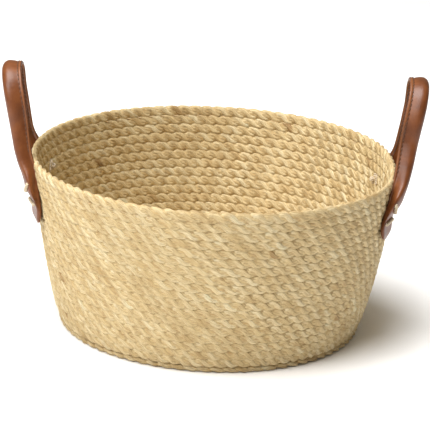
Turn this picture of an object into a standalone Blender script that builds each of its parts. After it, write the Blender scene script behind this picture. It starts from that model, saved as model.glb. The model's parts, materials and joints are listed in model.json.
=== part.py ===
"""Round basket of coiled leaf rope with two stand-up leather loop handles.

The body is a two-strand leaf rope, pressed flat, wound and sewn course on course: a base disc,
a flared wall and a last course that forms the rim. Each handle is a leather strap folded round a rope core; its two
ends open out flat into tabs that are laced to the wall with cord.
Metres, +Z up. The origin is the middle of the base, on the surface that it stands on.
-X is the left handle, +X the right handle, -Y the front.
"""
import math

import bmesh
import bpy
from mathutils import Matrix, Vector

# Body
basket_height = 0.166
rim_radius = 0.180
heel_radius = 0.1484
heel_height = 0.010
foot_radius = 0.1385
flare_power = 0.75
coil_thickness = 0.0065
course_width = 0.0093
rim_rounding = 0.0028
seam_thread_radius = 0.0006

# Tabs and lacing
tab_half_spread = 0.052
tab_width = 0.026
tab_thickness = 0.0038
tab_drop = 0.0605
crease_drop = 0.0215
cord_radius = 0.0015
stitch_half_width = 0.0070
lower_stitch_drop = 0.0420
upper_stitch_drop = 0.0290
upper_stitch_slant = 0.0032
cord_bend = 0.0022

# Handle loops
grip_width = 0.0196
grip_thickness = 0.011
crease_width = 0.0076
crease_thickness = 0.0220
core_radius = 0.0036
grip_stitch_radius = 0.00045
loop_rise = 0.0855
arch_foot_rise = 0.034
arch_half_width = 0.034
arch_power = 0.83
full_fold_height = 0.016
fold_power = 1.0
hole_wall = 0.0014
left_splay = 0.0175
right_splay = 0.0066
splay_power = 1.35
flange_share = 0.29
flange_end = 0.18
round_start = 0.70

# Clearances
gap = 0.0003
pivot_clearance = 0.0002
fold_clearance = 0.0012
floor_step = 0.0003
near_corner_share = 0.35
core_slack = 0.0004

# Heights that follow the rim
tab_bottom = basket_height - tab_drop
crease_height = basket_height - crease_drop
lower_stitch_height = basket_height - lower_stitch_drop
upper_stitch_height = basket_height - upper_stitch_drop
arch_foot_height = basket_height + arch_foot_rise
loop_top = basket_height + loop_rise

# Facets
turn_steps = 64
edge_steps = 4
wall_steps = 6
lip_steps = 6
thread_sides = 4
tab_rows = 11
tab_columns = 6
tab_row_crowding = 1.4
tab_tip_share = 0.16
cutter_sides = 12
bend_steps = 2
leg_steps = 7
arch_steps = 9
hole_steps = 6
thinnest_half = 0.0006
smallest_hole = 0.0008
section_shares = (0.0, 0.05, 0.18, 0.44, 0.70, 0.87, 0.97, 1.0)

SIDES = {"left": (-1, left_splay), "right": (1, right_splay)}
ENDS = {"front": -1, "rear": 1}

FINISHES = {
    "straw": ((0.68, 0.52, 0.30), 0.75),
    "leather": ((0.26, 0.085, 0.03), 0.42),
    "rope": ((0.55, 0.42, 0.26), 0.9),
    "brown_thread": ((0.10, 0.04, 0.02), 0.7),
    "lacing_cord": ((0.80, 0.70, 0.58), 0.8),
    "sewing_thread": ((0.62, 0.50, 0.33), 0.8),
}


def clear_scene():
    for thing in list(bpy.data.objects):
        bpy.data.objects.remove(thing, do_unlink=True)


def finish(name):
    found = bpy.data.materials.get(name)
    if found:
        return found
    colour, roughness = FINISHES[name]
    made = bpy.data.materials.new(name)
    made.use_nodes = True
    shader = made.node_tree.nodes["Principled BSDF"]
    shader.inputs["Base Color"].default_value = (*colour, 1.0)
    shader.inputs["Roughness"].default_value = roughness
    shader.inputs["Metallic"].default_value = 0.0
    return made


def to_object(name, mesh_data, material):
    made = bpy.data.objects.new(name, mesh_data)
    bpy.context.scene.collection.objects.link(made)
    made.data.materials.append(finish(material))
    return made


def from_bmesh(name, bm, material, angle=35):
    bmesh.ops.remove_doubles(bm, verts=bm.verts, dist=1e-6)
    bmesh.ops.recalc_face_normals(bm, faces=bm.faces)
    mesh = bpy.data.meshes.new(name)
    bm.to_mesh(mesh)
    bm.free()
    mesh.shade_smooth()
    mesh.set_sharp_from_angle(angle=math.radians(angle))
    return to_object(name, mesh, material)


def outer_radius(z):
    """Radius of the wall's outer face at a height, from the heel to the rim."""
    share = max(0.0, (z - heel_height) / (basket_height - heel_height))
    return heel_radius + (rim_radius - heel_radius) * share**flare_power


def wall_slope(z):
    """How far the outer face moves out for each metre up, at a height above the heel."""
    rise = basket_height - heel_height
    share = (z - heel_height) / rise
    return (rim_radius - heel_radius) * flare_power * share ** (flare_power - 1) / rise


def heel_point(angle):
    """Point (radius, height) on the rounded edge between the foot and the heel."""
    across = heel_radius - foot_radius
    return foot_radius + across * math.sin(angle), heel_height * (1 - math.cos(angle))


def outer_face(z):
    """Radius of the outer face at any height, rounded edge included."""
    if z >= heel_height:
        return outer_radius(z)
    return heel_point(math.acos(1 - max(z, 0) / heel_height))[0]


def turned(name, outline, material):
    """Solid turned about Z from a closed outline of (radius, height) points."""
    bm = bmesh.new()
    points = [bm.verts.new((radius, 0, height)) for radius, height in outline]
    edges = [bm.edges.new(pair) for pair in zip(points, points[1:] + points[:1])]
    bmesh.ops.spin(
        bm,
        geom=points + edges,
        cent=(0, 0, 0),
        axis=(0, 0, 1),
        angle=2 * math.pi,
        steps=turn_steps,
        use_merge=True,
        use_duplicate=False,
    )
    flat = [face for face in bm.faces if face.calc_area() < 1e-12]
    bmesh.ops.delete(bm, geom=flat, context="FACES")
    return from_bmesh(name, bm, material)


def steps_between(low, high, count):
    return [low + (high - low) * i / count for i in range(count + 1)]


wall_foot = coil_thickness - floor_step + gap
floor_radius = outer_face(wall_foot) - coil_thickness - gap
rim_foot = basket_height - course_width
wall_top = rim_foot - gap


def base_coil():
    """Flat disc with a rounded heel; its floor stands one small step above the ledge under the wall."""
    ledge = coil_thickness - floor_step
    edge = [(outer_face(z), z) for z in steps_between(0, ledge, edge_steps)]
    floor = [(floor_radius, ledge), (floor_radius, coil_thickness), (0, coil_thickness)]
    return turned("base_coil", [(0, 0), *edge, *floor], "straw")


def seam_middle(z):
    return outer_face(z) - coil_thickness / 2


def wall_coil():
    """Flared wall, open at both ends, with a groove for the base seam and one for the rim seam."""
    heights = [wall_foot, *steps_between(heel_height, wall_top, wall_steps)]
    outside = [(outer_face(z), z) for z in heights]
    inside = [(outer_face(z) - coil_thickness, z) for z in reversed(heights)]
    deep = 2 * seam_thread_radius + gap
    wide = seam_thread_radius + gap
    low = seam_middle(wall_foot)
    high = seam_middle(wall_top)
    top_groove = [
        (high + wide, wall_top),
        (high + wide, wall_top - deep),
        (high - wide, wall_top - deep),
        (high - wide, wall_top),
    ]
    foot_groove = [
        (low - wide, wall_foot),
        (low - wide, wall_foot + deep),
        (low + wide, wall_foot + deep),
        (low + wide, wall_foot),
    ]
    return turned("wall_coil", outside + top_groove + inside + foot_groove, "straw")


def rim_coil():
    """Last course of the rope, with a rounded lip."""
    outside = [(outer_face(rim_foot), rim_foot)]
    inside = [(outer_face(rim_foot) - coil_thickness, rim_foot)]
    middle = rim_radius - coil_thickness / 2
    lip = [
        (
            middle + coil_thickness / 2 * math.cos(a),
            basket_height - rim_rounding + rim_rounding * math.sin(a),
        )
        for a in steps_between(0, math.pi, lip_steps)
    ]
    return turned("rim_coil", outside + lip + inside, "straw")


def seam_thread(name, middle, height):
    section = [
        (middle + seam_thread_radius * math.cos(a), height + seam_thread_radius * math.sin(a))
        for a in steps_between(0, 2 * math.pi, thread_sides)[:-1]
    ]
    return turned(name, section, "sewing_thread")


def tab_azimuth():
    return math.asin(tab_half_spread / outer_radius(crease_height))


def on_wall(side, end, across, height, offset):
    """Point on the wall beside a tab: across is along the wall and positive away from the loop's middle."""
    radius = outer_radius(height)
    angle = tab_azimuth() + across / radius
    reach = radius + offset
    return Vector((side * reach * math.cos(angle), end * reach * math.sin(angle), height))


def tab_half_width(height):
    """Half width of a tab at a height: straight sides and a rounded lower end."""
    round_height = tab_width / 2
    rise = min(1.0, (height - tab_bottom) / round_height)
    return tab_width / 2 * max(tab_tip_share, math.sqrt(max(0.0, 1 - (1 - rise) ** 2)))


def tab(side_name, end_name):
    """Leather tab that lies on the outside of the wall and follows its curve."""
    side = SIDES[side_name][0]
    end = ENDS[end_name]
    bm = bmesh.new()
    top = crease_height - gap
    rise = top - tab_bottom
    rows = [tab_bottom + rise * t**tab_row_crowding for t in steps_between(0, 1, tab_rows)]
    bmesh.ops.create_grid(bm, x_segments=tab_columns, y_segments=tab_rows, size=1)
    places = {}
    for vert in bm.verts:
        row = round((vert.co.y + 1) / 2 * tab_rows)
        places[vert] = (vert.co.x * tab_half_width(rows[row]), rows[row])
    for vert, (across, height) in places.items():
        vert.co = on_wall(side, end, across, height, gap)
    back = {tuple(vert.co): place for vert, place in places.items()}
    grown = bmesh.ops.extrude_face_region(bm, geom=bm.faces[:])
    for vert in [part for part in grown["geom"] if isinstance(part, bmesh.types.BMVert)]:
        across, height = back[tuple(vert.co)]
        vert.co = on_wall(side, end, across, height, gap + tab_thickness)
    return from_bmesh(f"{side_name}_{end_name}_tab", bm, "leather")


def stitch_holes():
    """The four holes of a tab's lacing as (across, height)."""
    wide = stitch_half_width
    slant = upper_stitch_slant
    return [
        (-wide, upper_stitch_height - slant),
        (wide, upper_stitch_height + slant),
        (wide, lower_stitch_height),
        (-wide, lower_stitch_height),
    ]


def lacing_corners(side, end):
    """Corners of one lacing cord: over the tab, through the wall, down inside, and back."""
    outside = gap + tab_thickness + gap + cord_radius
    inside = -coil_thickness - 2 * gap - cord_radius
    upper_in, upper_out, lower_out, lower_in = stitch_holes()
    path = [
        (*upper_in, outside),
        (*upper_out, outside),
        (*upper_out, inside),
        (*lower_out, inside),
        (*lower_out, outside),
        (*lower_in, outside),
        (*lower_in, inside),
        (*upper_in, inside),
    ]
    return [on_wall(side, end, *place) for place in path]


def rounded_path(corners, bend, closed):
    """Points along straight runs whose corners are rounded by short curves."""
    points = []
    count = len(corners)
    for i, corner in enumerate(corners):
        if not closed and i in (0, count - 1):
            points.append(corner)
            continue
        before = (corners[i - 1] - corner).normalized() * bend
        after = (corners[(i + 1) % count] - corner).normalized() * bend
        for t in steps_between(0, 1, bend_steps):
            points.append(corner + before * (1 - t) ** 2 + after * t**2)
    return points


def cord(name, points, radius, material, closed, sides=2):
    """Round cord along a list of points, as a bevelled curve."""
    curve = bpy.data.curves.new(name, "CURVE")
    curve.dimensions = "3D"
    curve.bevel_depth = radius
    curve.bevel_resolution = sides
    curve.use_fill_caps = not closed
    spline = curve.splines.new("POLY")
    spline.points.add(len(points) - 1)
    for place, point in zip(spline.points, points):
        place.co = (*point, 1)
    spline.use_cyclic_u = closed
    return to_object(name, curve, material)


def lacing(side_name, end_name):
    side = SIDES[side_name][0]
    end = ENDS[end_name]
    points = rounded_path(lacing_corners(side, end), cord_bend, True)
    return cord(f"{side_name}_{end_name}_lacing", points, cord_radius, "lacing_cord", True, 1)


def hole_cutter(side, end, across, height):
    """Round bar through the tab and the wall where the lacing cord passes."""
    low = on_wall(side, end, across, height, -coil_thickness - 4 * cord_radius)
    high = on_wall(side, end, across, height, tab_thickness + 4 * cord_radius)
    along = high - low
    bm = bmesh.new()
    bmesh.ops.create_cone(
        bm,
        cap_ends=True,
        segments=cutter_sides,
        radius1=cord_radius + 2 * gap,
        radius2=cord_radius + 2 * gap,
        depth=along.length,
    )
    turn = along.to_track_quat("Z", "Y").to_matrix().to_4x4()
    bm.transform(Matrix.Translation((low + high) / 2) @ turn)
    return bm


def cutter_for(ends_wanted):
    """One hidden object that holds the lacing holes of the tabs given."""
    mesh = bpy.data.meshes.new("lacing_hole_cutter")
    whole = bmesh.new()
    for side, end in ends_wanted:
        for across, height in stitch_holes():
            part = hole_cutter(side, end, across, height)
            piece = bpy.data.meshes.new("hole")
            part.to_mesh(piece)
            part.free()
            whole.from_mesh(piece)
            bpy.data.meshes.remove(piece)
    whole.to_mesh(mesh)
    whole.free()
    made = bpy.data.objects.new("lacing_hole_cutter", mesh)
    bpy.context.scene.collection.objects.link(made)
    made.hide_render = True
    made.display_type = "WIRE"
    return made


def cut(target, cutter):
    holes = target.modifiers.new("lacing_holes", "BOOLEAN")
    holes.operation = "DIFFERENCE"
    holes.object = cutter


def pivot(side):
    """Point on a handle's hinge line, where the leather creases above the tabs."""
    corner = on_wall(1, 1, -tab_width / 2, crease_height, gap + tab_thickness)
    return Vector((side * (corner.x + pivot_clearance), 0, crease_height))


def fold_share(height):
    """0 where the strap is still flat at the crease, 1 where it is wholly folded."""
    folded = basket_height + full_fold_height
    return min(1.0, max(0.0, (height - crease_height) / (folded - crease_height)))


def section_width(height):
    return crease_width + (grip_width - crease_width) * fold_share(height) ** fold_power


def section_thickness(height):
    return crease_thickness + (grip_thickness - crease_thickness) * fold_share(height) ** fold_power


def centre_reach(height, splay):
    """Distance of the section's middle from the YZ plane: beside the wall, then leaning outward."""
    beside = min(height, basket_height)
    nearest = tab_half_spread - near_corner_share * section_thickness(beside)
    wall = math.sqrt(outer_radius(beside) ** 2 - nearest**2)
    tilt = math.hypot(1, wall_slope(beside))
    rise = (height - beside) / (loop_top - basket_height)
    return wall + (fold_clearance + section_width(beside) / 2) * tilt + splay * rise**splay_power


def loop_heights_and_halves():
    """(height, half spread) from a crease up one leg and round to the top of the loop."""
    start = crease_height + gap
    rise = loop_top - grip_thickness / 2 - arch_foot_height
    leg = [
        (
            start + (arch_foot_height - start) * t,
            tab_half_spread + (arch_half_width - tab_half_spread) * t,
        )
        for t in steps_between(0, 1, leg_steps)
    ]
    arch = [
        (
            arch_foot_height + rise * math.sin(a) ** arch_power,
            arch_half_width * max(0.0, math.cos(a)) ** arch_power,
        )
        for a in steps_between(0, math.pi / 2, arch_steps)
    ]
    return leg + arch[1:]


def loop_stations(side, splay):
    """Stations from the front crease over the top to the rear crease: centre, outward and face axes."""
    half = loop_heights_and_halves()
    front = [(height, -spread) for height, spread in half]
    rear = [(height, spread) for height, spread in reversed(half[:-1])]
    centres = [Vector((side * centre_reach(h, splay), y, h)) for h, y in front + rear]
    stations = []
    for i, centre in enumerate(centres):
        after = centres[min(i + 1, len(centres) - 1)]
        before = centres[max(i - 1, 0)]
        along = (after - before).normalized()
        if i in (0, len(centres) - 1):
            along = Vector((0, 0, 1 if i == 0 else -1))
        outward = Vector((side, 0, 0))
        outward = (outward - along * along.dot(outward)).normalized()
        face = along.cross(outward) * -side
        stations.append((centre, outward, face))
    return stations


def half_thickness(share, height):
    """Half thickness of the strap at a share of its width, from the stitched edge to the fold."""
    if share < flange_end:
        folded = flange_share
    elif share < round_start:
        t = (share - flange_end) / (round_start - flange_end)
        folded = flange_share + (1 - flange_share) * t * t * (3 - 2 * t)
    else:
        t = (share - round_start) / (1 - round_start)
        folded = math.sqrt(max(0.0, 1 - t * t))
    flat = max(0.0, 1 - abs(2 * share - 1) ** 2.5) ** 0.4
    mix = fold_share(height)
    return section_thickness(height) / 2 * (flat + (folded - flat) * mix)


def section_ring(station):
    """Outline of the folded strap round one station."""
    centre, outward, face = station
    width = section_width(centre.z)
    ring = []
    for side in (1, -1):
        shares = section_shares if side > 0 else section_shares[::-1]
        for share in shares:
            thick = max(thinnest_half, half_thickness(share, centre.z))
            ring.append(centre + outward * width * (share - 0.5) + face * side * thick)
    return ring


def core_centre(station):
    centre, outward, _ = station
    return centre + outward * section_width(centre.z) * (round_start - 0.5)


def hole_radius(height):
    room = section_width(height) * (1 - round_start) - hole_wall
    return max(smallest_hole, min(core_radius + gap, room))


def hole_ring(station):
    centre, outward, face = station
    middle = core_centre(station)
    size = hole_radius(centre.z)
    ring = []
    for i in range(hole_steps):
        a = 2 * math.pi * i / hole_steps
        ring.append(middle + outward * size * math.cos(a) + face * size * math.sin(a))
    return ring


def loft(bm, rings):
    """Skin of quads over rings of equal count; gives back the first and last rings of vertices."""
    rows = [[bm.verts.new(point) for point in ring] for ring in rings]
    for low, high in zip(rows, rows[1:]):
        for i, vert in enumerate(low):
            j = (i + 1) % len(low)
            bm.faces.new((vert, low[j], high[j], high[i]))
    return rows[0], rows[-1]


def ring_edges(bm, ring):
    return [bm.edges.get((vert, ring[(i + 1) % len(ring)])) for i, vert in enumerate(ring)]


def grip_cover(side_name):
    """Leather strap folded round the rope, open at both ends where it flattens into the tabs."""
    side, splay = SIDES[side_name]
    stations = loop_stations(side, splay)
    bm = bmesh.new()
    outer_ends = loft(bm, [section_ring(station) for station in stations])
    inner_ends = loft(bm, [hole_ring(station) for station in stations])
    for outer, inner in zip(outer_ends, inner_ends):
        edges = ring_edges(bm, outer) + ring_edges(bm, inner)
        bmesh.ops.bridge_loops(bm, edges=edges)
    bmesh.ops.triangulate(bm, faces=bm.faces[:])
    return from_bmesh(f"{side_name}_grip_cover", bm, "leather", 50)


def rope_core(side_name):
    """Rope inside the fold, as far down as the fold has room for it."""
    side, splay = SIDES[side_name]
    full = core_radius + gap
    stations = [s for s in loop_stations(side, splay) if hole_radius(s[0].z) >= full - 1e-7]
    points = [core_centre(station) for station in stations]
    return cord(f"{side_name}_rope_core", points, core_radius - core_slack, "rope", False, 1)


def grip_seam(side_name):
    """Sewing thread along the outer face of the stitched edge."""
    side, splay = SIDES[side_name]
    lowest = basket_height + full_fold_height
    stations = [s for s in loop_stations(side, splay) if s[0].z >= lowest]
    share = flange_end * 0.75
    points = []
    for centre, outward, face in stations:
        lift = half_thickness(share, centre.z) + gap + grip_stitch_radius
        points.append(centre + outward * grip_width * (share - 0.5) + face * lift)
    return cord(f"{side_name}_grip_seam_thread", points, grip_stitch_radius, "brown_thread", False, 0)


def hang_on_hinge(side_name, pieces):
    """Parents a handle's pieces to an empty on the hinge line."""
    place = pivot(SIDES[side_name][0])
    hinge = bpy.data.objects.new(f"{side_name}_hinge", None)
    hinge.location = place
    bpy.context.scene.collection.objects.link(hinge)
    for piece in pieces:
        piece.parent = hinge
        piece.matrix_parent_inverse = Matrix.Translation(-place)


def main():
    clear_scene()
    base_coil()
    wall = wall_coil()
    rim_coil()
    seam_height = seam_thread_radius + gap / 2
    seam_thread("base_seam_thread", seam_middle(wall_foot), wall_foot + seam_height)
    seam_thread("rim_seam_thread", seam_middle(wall_top), wall_top - seam_height)
    every_end = [(side, end) for side, _ in SIDES.values() for end in ENDS.values()]
    cut(wall, cutter_for(every_end))
    for side_name in SIDES:
        for end_name in ENDS:
            one = cutter_for([(SIDES[side_name][0], ENDS[end_name])])
            cut(tab(side_name, end_name), one)
            lacing(side_name, end_name)
        pieces = [grip_cover(side_name), rope_core(side_name), grip_seam(side_name)]
        hang_on_hinge(side_name, pieces)


main()
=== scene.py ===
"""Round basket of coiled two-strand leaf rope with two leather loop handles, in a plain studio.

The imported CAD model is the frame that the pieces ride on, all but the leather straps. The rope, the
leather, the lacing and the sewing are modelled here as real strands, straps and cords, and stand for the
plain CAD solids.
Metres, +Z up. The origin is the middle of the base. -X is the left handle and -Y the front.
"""
import json
import logging
import math
from dataclasses import dataclass, field
from enum import Enum
from typing import Callable, Sequence

import bmesh
import bpy
import numpy as np
from mathutils import Matrix, Vector


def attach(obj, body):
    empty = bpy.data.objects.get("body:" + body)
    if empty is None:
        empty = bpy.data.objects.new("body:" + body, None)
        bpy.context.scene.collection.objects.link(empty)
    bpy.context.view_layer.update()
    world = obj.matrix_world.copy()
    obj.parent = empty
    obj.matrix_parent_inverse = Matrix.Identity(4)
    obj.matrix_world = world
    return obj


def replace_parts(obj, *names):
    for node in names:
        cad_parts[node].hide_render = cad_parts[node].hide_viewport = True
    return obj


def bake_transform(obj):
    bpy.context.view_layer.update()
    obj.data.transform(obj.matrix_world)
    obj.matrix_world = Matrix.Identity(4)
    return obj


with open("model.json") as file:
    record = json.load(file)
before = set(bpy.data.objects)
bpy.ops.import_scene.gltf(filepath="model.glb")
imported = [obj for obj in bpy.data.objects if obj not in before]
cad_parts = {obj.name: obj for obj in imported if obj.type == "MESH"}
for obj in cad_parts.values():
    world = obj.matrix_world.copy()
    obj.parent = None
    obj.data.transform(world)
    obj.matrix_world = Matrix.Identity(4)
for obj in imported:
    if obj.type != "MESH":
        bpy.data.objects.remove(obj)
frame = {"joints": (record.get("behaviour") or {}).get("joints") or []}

log = logging.getLogger("basket")

Points = np.ndarray
Place = Callable[[np.ndarray, np.ndarray], Points]

# Rows of (height, distance of the fold's outer edge from the YZ plane) of each handle above its crease.
LEFT_FOLD_EDGE = (
    (0.1300, 0.1745), (0.1400, 0.1775), (0.1475, 0.1801), (0.1550, 0.1834), (0.1640, 0.1880),
    (0.1750, 0.1918), (0.1873, 0.1945), (0.2180, 0.2012), (0.2400, 0.2066), (0.2500, 0.2094),
)
RIGHT_FOLD_EDGE = (
    (0.1300, 0.1700), (0.1437, 0.1758), (0.1531, 0.1792), (0.1610, 0.1822),
    (0.1700, 0.1847), (0.1800, 0.1869), (0.2116, 0.1922), (0.2341, 0.1966), (0.2500, 0.1992),
)

# Rows of (height, size of the strap's section from its stitched edge to its fold).
LEFT_WIDTHS = (
    (0.1050, 0.0046), (0.1220, 0.0048), (0.1320, 0.0074), (0.1414, 0.0116), (0.1520, 0.0140),
    (0.1620, 0.0152), (0.1720, 0.0158), (0.1820, 0.0165), (0.2000, 0.0178), (0.2250, 0.0188),
)
RIGHT_WIDTHS = (
    (0.1050, 0.0038), (0.1220, 0.0038), (0.1320, 0.0046), (0.1414, 0.0084), (0.1520, 0.0138),
    (0.1620, 0.0152), (0.1720, 0.0162), (0.1820, 0.0170), (0.2000, 0.0178), (0.2250, 0.0188),
)


class Slot(Enum):
    """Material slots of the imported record."""

    STRAW = "straw"
    LEATHER = "leather"
    ROPE = "rope"
    BROWN_THREAD = "brown_thread"
    LACING_CORD = "lacing_cord"
    SEWING_THREAD = "sewing_thread"


class Side(Enum):
    """The two handles, with the sign of their X."""

    LEFT = -1
    RIGHT = 1

    @property
    def label(self) -> str:
        """The name in lower case, as it stands in the nodes' names."""
        return self.name.lower()


class End(Enum):
    """The two ends of a handle, with the sign of their Y."""

    FRONT = -1
    REAR = 1

    @property
    def label(self) -> str:
        """The name in lower case, as it stands in the nodes' names."""
        return self.name.lower()


def smooth(value: np.ndarray) -> np.ndarray:
    """Eases a share from 0 to 1, clamped at both ends."""
    share = np.clip(value, 0.0, 1.0)
    return share * share * (3 - 2 * share)


def unit(vectors: Points) -> Points:
    """Vectors scaled to length 1, row by row."""
    length = np.linalg.norm(vectors, axis=-1, keepdims=True)
    return vectors / np.maximum(length, 1e-12)


def bell(value: np.ndarray, middle: float, width: float) -> np.ndarray:
    """Smooth bump of height 1 round a middle value."""
    return np.exp(-(((value - middle) / width) ** 2))


def run_length(line: Points) -> np.ndarray:
    """Distance along a path from its first point to each of its points."""
    steps = np.linalg.norm(np.diff(line, axis=0), axis=1)
    return np.concatenate([[0], np.cumsum(steps)])


def rows_at(at: np.ndarray, length: np.ndarray, rows: Points) -> Points:
    """Reads the rows of a table between its own places.

    Args:
        at: The places to read.
        length: The place of each row, rising.
        rows: The table.

    Returns:
        One row for each place read.
    """
    return np.stack([np.interp(at, length, rows[:, i]) for i in range(rows.shape[1])], axis=-1)


def relaxed(line: Points, times: int) -> Points:
    """The path with its corners rounded that many times over, its two ends kept."""
    for _ in range(times):
        line[1:-1] = 0.25 * line[:-2] + 0.5 * line[1:-1] + 0.25 * line[2:]
    return line


def wander(length: np.ndarray, seed: int, waves: Sequence[int]) -> np.ndarray:
    """Smooth periodic noise, roughly from -1 to 1.

    Args:
        length: Share of the closed round, from 0 to 1.
        seed: Seed of the phases.
        waves: How many times each part of the noise repeats in a round.

    Returns:
        The noise at each place.
    """
    chance = np.random.default_rng(seed)
    total = np.zeros_like(length)
    for wave in waves:
        turn = chance.uniform(0, 2 * math.pi)
        total += chance.uniform(0.5, 1.0) * np.sin(2 * math.pi * wave * length + turn)
    return total / len(waves)


# ---------------------------------------------------------------------------------------------- sizes


@dataclass(frozen=True)
class BasketShape:
    """Sizes of the basket's body, most of them the same as in the CAD model.

    Attributes:
        height: Height of the rim.
        rim_radius: Outer radius at the rim.
        heel_radius: Outer radius at the top of the rounded heel.
        heel_height: Height of the rounded heel.
        foot_radius: Radius of the flat part that stands on the floor.
        flare_power: How early the wall flares, 1 for a straight cone.
        thickness: Thickness of the wall and the base.
        tab_half_spread: Half the distance between the middles of one handle's two tabs.
        crease_height: Height where the straps bend.
        left_pull: How far the wall is drawn in beside the left handle.
        right_pull: How far it is drawn in beside the right handle.
        pull_foot: Height where that begins.
        pull_width: Half width of the drawn-in stretch, in radians.
    """

    height: float = 0.166
    rim_radius: float = 0.180
    heel_radius: float = 0.1484
    heel_height: float = 0.010
    foot_radius: float = 0.1385
    flare_power: float = 0.75
    thickness: float = 0.0065
    tab_half_spread: float = 0.052
    crease_height: float = 0.1445
    left_pull: float = 0.0014
    right_pull: float = 0.0060
    pull_foot: float = 0.085
    pull_width: float = 0.38

    def outer_radius(self, z: np.ndarray) -> np.ndarray:
        """Radius of the wall's outer face at a height."""
        share = (np.asarray(z, float) - self.heel_height) / (self.height - self.heel_height)
        rise = np.clip(share, 0.0, None) ** self.flare_power
        return self.heel_radius + (self.rim_radius - self.heel_radius) * rise

    def outer_face(self, z: np.ndarray) -> np.ndarray:
        """Radius of the outer face at any height, rounded heel included."""
        low = np.arccos(np.clip(1 - np.asarray(z, float) / self.heel_height, -1, 1))
        heel = self.foot_radius + (self.heel_radius - self.foot_radius) * np.sin(low)
        return np.where(np.asarray(z) >= self.heel_height, self.outer_radius(z), heel)

    def pull(self, azimuth: np.ndarray, z: np.ndarray) -> np.ndarray:
        """How far the wall is drawn in beside the handles."""
        away = np.abs(np.arctan2(np.sin(azimuth), np.abs(np.cos(azimuth))))
        beside = bell(away, 0.0, self.pull_width)
        rise = smooth((np.asarray(z) - self.pull_foot) / (self.height - self.pull_foot))
        depth = np.where(np.cos(azimuth) < 0, self.left_pull, self.right_pull)
        return depth * beside * rise

    def tab_azimuth(self) -> float:
        """Angle of a tab's middle from the line through both handles."""
        return math.asin(self.tab_half_spread / float(self.outer_radius(self.crease_height)))

    def on_wall(
        self, side: Side, end: End, across: np.ndarray, height: np.ndarray, offset: np.ndarray
    ) -> Points:
        """Points on the wall beside a tab.

        Args:
            side: Left or right handle.
            end: Front or rear tab.
            across: Distance along the wall, positive away from the loop's middle.
            height: Height above the floor.
            offset: Distance outward from the wall's outer face.

        Returns:
            One row of X, Y and Z per place.
        """
        across, height, offset = np.broadcast_arrays(across, height, offset)
        radius = self.outer_radius(height)
        angle = self.tab_azimuth() + across / radius
        turned = angle if side is Side.RIGHT else math.pi - angle
        reach = radius + offset - self.pull(turned, height)
        x = side.value * reach * np.cos(angle)
        y = end.value * reach * np.sin(angle)
        return np.stack([x, y, height], axis=-1)


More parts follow.
